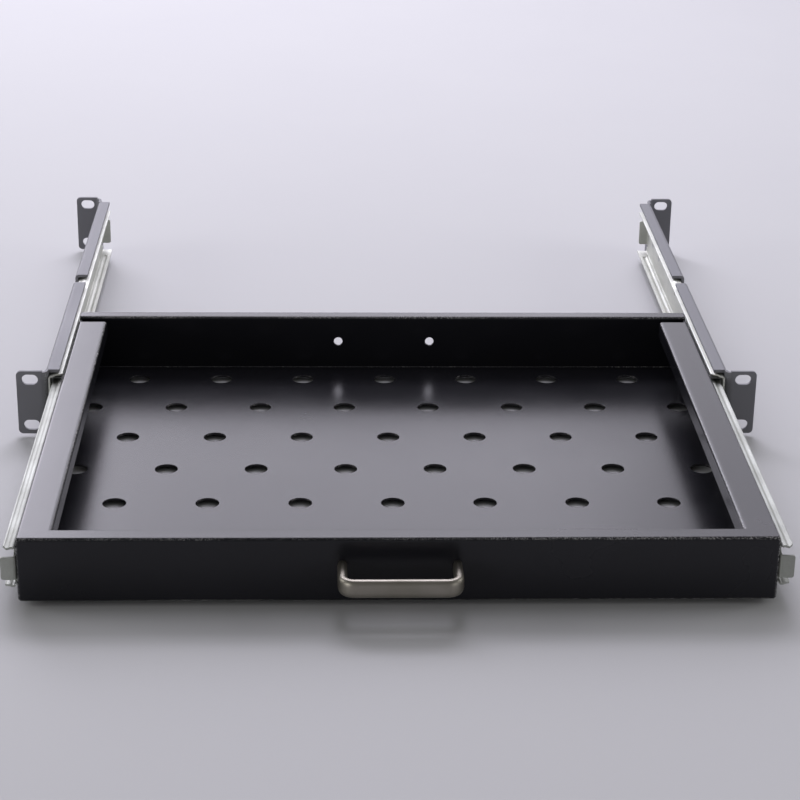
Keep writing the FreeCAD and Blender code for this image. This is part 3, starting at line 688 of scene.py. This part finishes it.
@dataclass
class Screw:
    """Threaded screw with a cross recess, along +Z from the underside of its head."""

    head: Profile
    shank: float
    length: float
    pitch: float
    recess: Recess
    thread_start: float = 0.0
    thread_depth: float = 0.3
    point: float = 0.35
    steps: int = 32
    rows_per_turn: int = 6

    def rows(self) -> list[list[Vector]]:
        """Rings of the head and of the threaded shank, from the head's outer face to the tip."""
        rows = [ring(radius, height, self.steps) for radius, height in self.head]
        start = max(self.thread_start, self.head[-1][1])
        tip = self.length - self.point * self.pitch
        count = max(2, round((tip - start) / self.pitch * self.rows_per_turn))
        for number in range(count + 1):
            height = start + (tip - start) * number / count
            rows.append(self.thread_ring(height))
        rows.append(ring(self.shank - self.thread_depth * self.pitch, self.length, self.steps))
        return rows

    def thread_ring(self, height: float) -> list[Vector]:
        """Points around the shank at one height, in and out along the thread."""
        points = []
        for number, point in enumerate(ring(1.0, height, self.steps)):
            phase = (height / self.pitch - number / self.steps) % 1.0
            flank = abs(2 * phase - 1)
            radius = self.shank - self.thread_depth * self.pitch * flank
            points.append(Vector((point.x * radius, point.y * radius, height)))
        return points

    def build(self, name: str) -> bpy.types.Object:
        """Build the screw.

        Args:
            name: name of the object.

        Returns:
            The screw.
        """
        mesh = bmesh.new()
        lathe(mesh, self.rows(), True)
        piece = new_object(name, mesh)
        carve(piece, self.recess.cutter(self.head[0][1]))
        return piece


@dataclass
class Nut:
    """Hexagon nut with chamfered corners and hole, along +Z from its seat."""

    width: float
    height: float
    hole: float
    slope: float = math.tan(math.radians(30))
    side_steps: int = 8
    face_share: float = 0.97
    hole_chamfer: float = 0.3 * MM

    def hexagon(self, height: float, way: int) -> list[Vector]:
        """Points around the flats, pulled away from an end by the chamfer.

        Args:
            height: height of the end face.
            way: 1 if the chamfer drops from it and -1 if it rises.

        Returns:
            The points.
        """
        points = []
        flat = self.width / 2
        half_side = math.pi / HEX_SIDES
        for number in range(HEX_SIDES * self.side_steps):
            turn = FULL_TURN * number / (HEX_SIDES * self.side_steps)
            corner = (turn + half_side) % (2 * half_side) - half_side
            radius = flat / math.cos(abs(corner) - half_side)
            drop = (radius - flat * self.face_share) * self.slope
            points.append(Vector((radius * math.cos(turn), radius * math.sin(turn), height - drop * way)))
        return points

    def build(self, name: str) -> bpy.types.Object:
        """Build the nut.

        Args:
            name: name of the object.

        Returns:
            The nut.
        """
        steps = HEX_SIDES * self.side_steps
        mesh = bmesh.new()
        mouth, bore = self.hole + self.hole_chamfer, self.hole
        face = self.width / 2 * self.face_share
        rows = [
            ring(bore, self.hole_chamfer, steps),
            ring(mouth, 0.0, steps),
            ring(face, 0.0, steps),
            self.hexagon(0.0, -1),
            self.hexagon(self.height, 1),
            ring(face, self.height, steps),
            ring(mouth, self.height, steps),
            ring(bore, self.height - self.hole_chamfer, steps),
        ]
        lathe(mesh, rows, False)
        return new_object(name, mesh)


@dataclass
class TurnedRing:
    """Ring or stud turned from a profile of radius and height."""

    profile: Profile
    hollow: bool
    steps: int = 40

    def build(self, name: str) -> bpy.types.Object:
        """Build the ring.

        Args:
            name: name of the object.

        Returns:
            The ring.
        """
        mesh = bmesh.new()
        lathe(mesh, [ring(radius, height, self.steps) for radius, height in self.profile], not self.hollow)
        return new_object(name, mesh)


@dataclass
class FastenerRow:
    """Row of equal fasteners that stands for one CAD node."""

    node: str
    body: Body
    count: int
    radius: float
    seat: Callable[[Vector, Vector], float]
    turn: Matrix
    along: int = 1
    first_twist: float = 0.7
    twist_step: float = 1.9
    sharp_degrees: float = 30.0

    def places(self) -> list[Vector]:
        """Where the fasteners sit, read from the node's box."""
        low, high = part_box(self.node)
        middle = (low + high) / 2
        first, last = low[self.along] + self.radius, high[self.along] - self.radius
        across = 1 - self.along
        places = []
        for number in range(self.count):
            place = middle.copy()
            place[self.along] = first + (last - first) * number / (self.count - 1)
            place[across] = self.seat(low, high)
            places.append(place)
        return places

    def build(self, pattern: bpy.types.Object, material: bpy.types.Material) -> bpy.types.Object:
        """Copy the pattern to every place and join the copies into one piece.

        Args:
            pattern: one fastener, which is then removed.
            material: finish of the row.

        Returns:
            The piece.
        """
        joined = bmesh.new()
        for number, place in enumerate(self.places()):
            twist = Matrix.Rotation(self.first_twist + self.twist_step * number, 4, "Z")
            copy = pattern.data.copy()
            copy.transform(Matrix.Translation(place) @ self.turn @ twist)
            joined.from_mesh(copy)
            bpy.data.meshes.remove(copy)
        bpy.data.objects.remove(pattern)
        piece = new_object(f"{self.node}_dressed", joined)
        piece.data.materials.append(material)
        smooth(piece, self.sharp_degrees)
        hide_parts(self.node)
        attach(piece, self.body.value)
        log.info("built %s on %s", piece.name, self.body.value)
        return piece


@dataclass
class ScrewSizes:
    """Sizes shared by the screws, nuts, washers and rivets."""

    PAN_CURVE = ((0.45, 1.0), (0.7, 0.96), (0.88, 0.84), (0.97, 0.62), (1.0, 0.4), (1.0, 0.0))

    shank: float = 2.0 * MM
    pitch: float = 0.7 * MM
    sunk_head: float = 3.0 * MM
    sunk_depth: float = 1.0 * MM
    sunk_rim: float = 0.12 * MM
    sunk_thread_start: float = 1.3 * MM
    sunk_recess: Recess = Recess(3.0 * MM, 0.75 * MM, 1.1 * MM)
    pan_head: float = 3.5 * MM
    pan_height: float = 2.0 * MM
    pan_recess: Recess = Recess(3.6 * MM, 0.85 * MM, 1.3 * MM)
    nut_width: float = 7.0 * MM
    nut_height: float = 3.2 * MM
    hole: float = 2.1 * MM
    washer: float = 4.5 * MM
    washer_sheet: float = 0.8 * MM
    washer_edge: float = 0.15 * MM
    handle_shank: float = 1.5 * MM
    handle_pitch: float = 0.5 * MM
    handle_head: float = 2.8 * MM
    handle_head_height: float = 1.8 * MM
    handle_recess: Recess = Recess(2.9 * MM, 0.7 * MM, 1.1 * MM)
    cup_share: float = 0.55
    cup_floor: float = 0.7
    cup_depth: float = 0.7 * MM
    cup_lip: float = 0.15 * MM

    def sunk_profile(self) -> Profile:
        """Flat countersunk head, from its face to the shank."""
        face = self.sunk_head - self.sunk_rim
        return [(face, 0.0), (self.sunk_head, self.sunk_rim), (self.shank, self.sunk_depth)]

    def pan_profile(self, head: float, height: float, shank: float) -> Profile:
        """Domed pan head, from its crown to its underside.

        Args:
            head: radius of the head.
            height: height of the head.
            shank: radius of the shank.

        Returns:
            The profile.
        """
        return [(head * across, -height * up) for across, up in self.PAN_CURVE] + [(shank, 0.0)]

    def washer_profile(self) -> Profile:
        """Section of a washer with eased edges."""
        edge, top = self.washer_edge, self.washer_sheet
        return [
            (self.hole, edge),
            (self.hole + edge, 0.0),
            (self.washer - edge, 0.0),
            (self.washer, edge),
            (self.washer, top - edge),
            (self.washer - edge, top),
            (self.hole + edge, top),
            (self.hole, top - edge),
        ]

    def rivet_profile(self, length: float) -> Profile:
        """Countersunk rivet whose tail has a punched cup.

        Args:
            length: length over all.

        Returns:
            The profile.
        """
        cup, lip = self.shank * self.cup_share, self.cup_lip
        tail = [(self.shank, length - lip), (self.shank - lip, length), (cup + lip, length)]
        hollow = [(cup, length - lip), (cup * self.cup_floor, length - self.cup_depth)]
        return self.sunk_profile() + tail + hollow


@dataclass
class SideRail:
    """Bracket pair and outer slide member of one hand, with their fasteners."""

    hand: Hand
    finishes: Finishes
    sizes: ScrewSizes = field(default_factory=ScrewSizes)
    rivets: int = 3
    screws: int = 2

    def outwards(self) -> Matrix:
        """Turn that lays +Z along X, away from the tray."""
        return Matrix.Rotation(math.radians(90 * self.hand.side), 4, "Y")

    def near(self, low: Vector, high: Vector) -> float:
        """X of the face towards the tray."""
        return low.x if self.hand is Hand.RIGHT else high.x

    def row(self, piece: str, count: int, radius: float) -> FastenerRow:
        """Row of fasteners of this rail.

        Args:
            piece: piece name without the hand.
            count: number of fasteners.
            radius: largest radius of one fastener along the row.

        Returns:
            The row.
        """
        return FastenerRow(self.hand.node(piece), Body.RAILS, count, radius, self.near, self.outwards())

    def build(self) -> None:
        """Dress the sheet-metal nodes and build the fasteners."""
        dress(self.hand.node("front_bracket"), self.finishes.bracket)
        dress(self.hand.node("rear_bracket"), self.finishes.bracket)
        dress(self.hand.node("slide_outer"), self.finishes.outer_zinc)
        sizes, steel = self.sizes, self.finishes.fastener
        row = self.row("slide_rivets", self.rivets, sizes.sunk_head)
        low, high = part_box(row.node)
        rivet = TurnedRing(sizes.rivet_profile(high.x - low.x), False)
        row.build(rivet.build("rivet"), steel)
        row = self.row("adjust_screws", self.screws, sizes.sunk_head)
        low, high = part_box(row.node)
        head, length = sizes.sunk_profile(), high.x - low.x
        screw = Screw(head, sizes.shank, length, sizes.pitch, sizes.sunk_recess, sizes.sunk_thread_start)
        row.build(screw.build("sunk_screw"), steel)
        row = self.row("adjust_washers", self.screws, sizes.washer)
        row.build(TurnedRing(sizes.washer_profile(), True).build("washer"), steel)
        low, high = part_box(self.hand.node("adjust_nuts"))
        row = self.row("adjust_nuts", self.screws, (high.z - low.z) / 2)
        row.build(Nut(sizes.nut_width, sizes.nut_height, sizes.hole).build("nut"), steel)


@dataclass
class DrawerSide:
    """Inner slide member, ball cage and balls of one hand, with the screws that hold them on the tray."""

    hand: Hand
    finishes: Finishes
    sizes: ScrewSizes = field(default_factory=ScrewSizes)
    screws: int = 3

    def inwards(self) -> Matrix:
        """Turn that lays +Z along X, towards the tray."""
        return Matrix.Rotation(math.radians(-90 * self.hand.side), 4, "Y")

    def head_seat(self, low: Vector, high: Vector) -> float:
        """X of the underside of the screw heads."""
        return high.x - self.sizes.pan_height if self.hand is Hand.RIGHT else low.x + self.sizes.pan_height

    def nut_seat(self, low: Vector, high: Vector) -> float:
        """X of the nut faces on the tray's wall."""
        return high.x if self.hand is Hand.RIGHT else low.x

    def build(self) -> None:
        """Dress the slide and its cage and build the fasteners."""
        dress(self.hand.node("slide_inner"), self.finishes.inner_zinc)
        dress(self.hand.node("ball_cage"), self.finishes.cage)
        dress(self.hand.node("balls"), self.finishes.ball)
        sizes, steel = self.sizes, self.finishes.fastener
        node = self.hand.node("tray_screws")
        low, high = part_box(node)
        head = sizes.pan_profile(sizes.pan_head, sizes.pan_height, sizes.shank)
        length = high.x - low.x - sizes.pan_height
        screw = Screw(head, sizes.shank, length, sizes.pitch, sizes.pan_recess)
        row = FastenerRow(node, Body.DRAWER, self.screws, sizes.pan_head, self.head_seat, self.inwards())
        row.build(screw.build("pan_screw"), steel)
        node = self.hand.node("tray_nuts")
        low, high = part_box(node)
        row = FastenerRow(node, Body.DRAWER, self.screws, (high.z - low.z) / 2, self.nut_seat, self.inwards())
        row.build(Nut(sizes.nut_width, sizes.nut_height, sizes.hole).build("nut"), steel)


@dataclass
class BowHandle:
    """Bow handle of a softly rounded bar, with tapped posts, in the place of its CAD node."""

    node: str = "handle"
    thickness: float = 5.4 * MM
    bend: float = 6.7 * MM
    squareness: float = 3.2
    crown: float = 0.1
    bore: float = 1.6 * MM
    bore_depth: float = 9.0 * MM
    bend_steps: int = 12
    bar_steps: int = 14
    section_steps: int = 40
    sharp_degrees: float = 40.0

    def path(self, half: float, wall: float, front: float) -> list[tuple[Vector, Vector]]:
        """Middle line of the bar, from the left post's foot to the right one's.

        Args:
            half: half the distance between the posts.
            wall: Y of the posts' feet.
            front: Y of the bar's middle.

        Returns:
            Points and their outward directions.
        """
        corner = Vector((half - self.bend, front + self.bend, 0.0))
        right = []
        for number in range(self.bend_steps + 1):
            turn = math.pi / 2 * number / self.bend_steps
            outward = Vector((math.sin(turn), -math.cos(turn), 0.0))
            right.append((corner + outward * self.bend, outward))
        right.append((Vector((half, wall, 0.0)), Vector((1.0, 0.0, 0.0))))
        flip = Vector((-1.0, 1.0, 1.0))
        left = [(point * flip, outward * flip) for point, outward in reversed(right)]
        bar = []
        for number in range(1, self.bar_steps):
            x = (half - self.bend) * (2 * number / self.bar_steps - 1)
            bar.append((Vector((x, front, 0.0)), Vector((0.0, -1.0, 0.0))))
        return left + bar + right

    def section(self, point: Vector, outward: Vector, level: float, height: float) -> list[Vector]:
        """Points around the bar at one place of its middle line.

        Args:
            point: the place.
            outward: direction across the bar, away from the fingers.
            level: Z of the bar's middle.
            height: height of the bar.

        Returns:
            The points.
        """
        points = []
        power = 2 / self.squareness
        for spot in ring(1.0, 0.0, self.section_steps):
            across, up = (math.copysign(abs(part) ** power, part) for part in (spot.x, spot.y))
            place = point + outward * (across * self.thickness / 2)
            domed = up * (1 - self.crown * across ** 2)
            points.append(Vector((place.x, place.y, level + domed * height / 2)))
        return points

    def build(self, material: bpy.types.Material) -> bpy.types.Object:
        """Build the handle.

        Args:
            material: its finish.

        Returns:
            The handle.
        """
        low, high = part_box(self.node)
        half = (high.x - low.x - self.thickness) / 2
        middle = (low + high) / 2
        path = self.path(half, high.y, low.y + self.thickness / 2)
        mesh = bmesh.new()
        lathe(mesh, [self.section(point, outward, middle.z, high.z - low.z) for point, outward in path], True)
        piece = new_object("bow_handle", mesh)
        drill = TurnedRing([(self.bore, -MM), (self.bore, self.bore_depth)], False)
        for side in (-1, 1):
            cutter = drill.build("bore_cutter")
            turn = Matrix.Rotation(math.radians(90), 4, "X")
            cutter.data.transform(Matrix.Translation((half * side, high.y, middle.z)) @ turn)
            carve(piece, cutter)
        piece.data.materials.clear()
        piece.data.materials.append(material)
        smooth(piece, self.sharp_degrees)
        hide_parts(self.node)
        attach(piece, Body.DRAWER.value)
        log.info("built %s on %s", piece.name, Body.DRAWER.value)
        return piece


@dataclass
class Tray:
    """Painted tray with its bow handle and the handle's screws."""

    finishes: Finishes
    handle: BowHandle = field(default_factory=BowHandle)
    sizes: ScrewSizes = field(default_factory=ScrewSizes)
    screws: int = 2

    def head_seat(self, low: Vector, high: Vector) -> float:
        """Y of the underside of the screw heads."""
        return high.y - self.sizes.handle_head_height

    def build(self) -> None:
        """Dress the tray and build the handle and its screws."""
        dress("tray", self.finishes.paint)
        self.handle.build(self.finishes.nickel)
        sizes = self.sizes
        node = "handle_screws"
        low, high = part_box(node)
        head = sizes.pan_profile(sizes.handle_head, sizes.handle_head_height, sizes.handle_shank)
        length = high.y - low.y - sizes.handle_head_height
        screw = Screw(head, sizes.handle_shank, length, sizes.handle_pitch, sizes.handle_recess)
        turn = Matrix.Rotation(math.radians(90), 4, "X")
        row = FastenerRow(node, Body.DRAWER, self.screws, sizes.handle_head, self.head_seat, turn, 0)
        row.build(screw.build("handle_screw"), self.finishes.fastener)


@dataclass
class SoftBox:
    """Rectangular lamp that lights the shelf softly."""

    name: str
    place: Vector
    aim: Vector
    width: float
    height: float
    radiance: float
    color: Color = (1.0, 1.0, 1.0)

    def build(self) -> None:
        """Hang the lamp."""
        lamp = bpy.data.lights.new(self.name, "AREA")
        lamp.shape = "RECTANGLE"
        lamp.size = self.width
        lamp.size_y = self.height
        lamp.energy = self.radiance * self.width * self.height * RADIANCE_TO_WATTS
        lamp.color = self.color
        holder = bpy.data.objects.new(self.name, lamp)
        holder.location = self.place
        holder.rotation_euler = (self.aim - self.place).to_track_quat("-Z", "Y").to_euler()
        holder.visible_camera = False
        bpy.context.scene.collection.objects.link(holder)


@dataclass
class Studio:
    """Pale ground, soft lamps, even surroundings and the camera."""

    BACK_BOXES = (("left", -1.4, 1.6, 4.3), ("middle", 0.0, 1.2, 2.1), ("right", 1.4, 1.6, 1.2))
    FRONT_BOXES = (("left", -1, 7.0), ("right", 1, 3.8))

    drop: float = 2.5 * MM
    ground_size: float = 14.0
    surround: float = 0.2
    cool: Color = (0.96, 0.935, 1.06)
    focal_pixels: float = 2180.0
    camera_place: Vector = field(default_factory=lambda: Vector((-42.6, -1318.3, 547.3)) * MM)
    heading: float = -2.187
    tilt: float = -22.501
    roll: float = 0.835

    def build(self, lowest: float) -> None:
        """Set up the studio under the shelf.

        Args:
            lowest: height of the shelf's lowest point.
        """
        self.ground(lowest - self.drop)
        self.lamps()
        self.world()
        self.camera()

    def ground(self, height: float) -> None:
        """Lay the ground."""
        mesh = bmesh.new()
        bmesh.ops.create_grid(mesh, x_segments=2, y_segments=2, size=self.ground_size / 2)
        floor = new_object("studio_floor", mesh)
        floor.location.z = height
        floor.data.materials.append(StudioGround().material())
        floor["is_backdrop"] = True

    def lamps(self) -> None:
        """Hang the soft boxes behind, above, beside and in front of the shelf."""
        aim = Vector((0.0, -0.05, 0.0))
        for name, x, width, radiance in self.BACK_BOXES:
            place, ahead = Vector((x, 2.7, 1.55)), aim + Vector((x, 0.0, 0.0))
            SoftBox(f"back_box_{name}", place, ahead, width, 2.0, radiance, self.cool).build()
        place = Vector((0.0, 1.5, 1.75))
        SoftBox("upper_box", place, aim, width=1.6, height=0.6, radiance=4.2, color=self.cool).build()
        place = Vector((0.05, 0.7, 1.9))
        SoftBox("top_box", place, aim, width=0.7, height=1.6, radiance=2.2, color=self.cool).build()
        for name, side, radiance in self.FRONT_BOXES:
            place = Vector((1.3 * side, 0.0, 0.4))
            SoftBox(f"side_box_{name}", place, aim, width=0.6, height=0.5, radiance=3.0).build()
            place = Vector((1.7 * side, -1.7, 0.2))
            SoftBox(f"front_box_{name}", place, aim, width=0.9, height=0.35, radiance=radiance).build()

    def world(self) -> None:
        """Give the surroundings an even pale tone."""
        world = bpy.data.worlds.new("studio_world")
        world.use_nodes = True
        background = world.node_tree.nodes["Background"]
        background.inputs["Color"].default_value = (1.0, 1.0, 1.0, 1.0)
        background.inputs["Strength"].default_value = self.surround
        bpy.context.scene.world = world

    def camera(self) -> None:
        """Set the camera where the photograph was taken from."""
        data = bpy.data.cameras.new("photo_camera")
        data.sensor_width = SENSOR_WIDTH
        data.lens = self.focal_pixels / IMAGE_WIDTH * SENSOR_WIDTH
        camera = bpy.data.objects.new("photo_camera", data)
        turn = Matrix.Identity(4)
        for angle, axis in ((self.heading, "Z"), (self.tilt + 90.0, "X"), (self.roll, "Z")):
            turn = turn @ Matrix.Rotation(math.radians(angle), 4, axis)
        camera.matrix_world = Matrix.Translation(self.camera_place) @ turn
        bpy.context.scene.collection.objects.link(camera)
        bpy.context.scene.camera = camera


def main() -> None:
    """Measure the CAD shelf, build and dress it, and set up the studio under it."""
    logging.basicConfig(level=logging.INFO, format="%(name)s: %(message)s")
    cad_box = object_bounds()
    finishes = Finishes()
    Tray(finishes).build()
    for hand in Hand:
        SideRail(hand, finishes).build()
        DrawerSide(hand, finishes).build()
    Studio().build(cad_box[0][2])
    bpy.context.scene.view_settings.view_transform = "Standard"
    log.info("the shelf is complete")


if __name__ == "__main__":
    main()
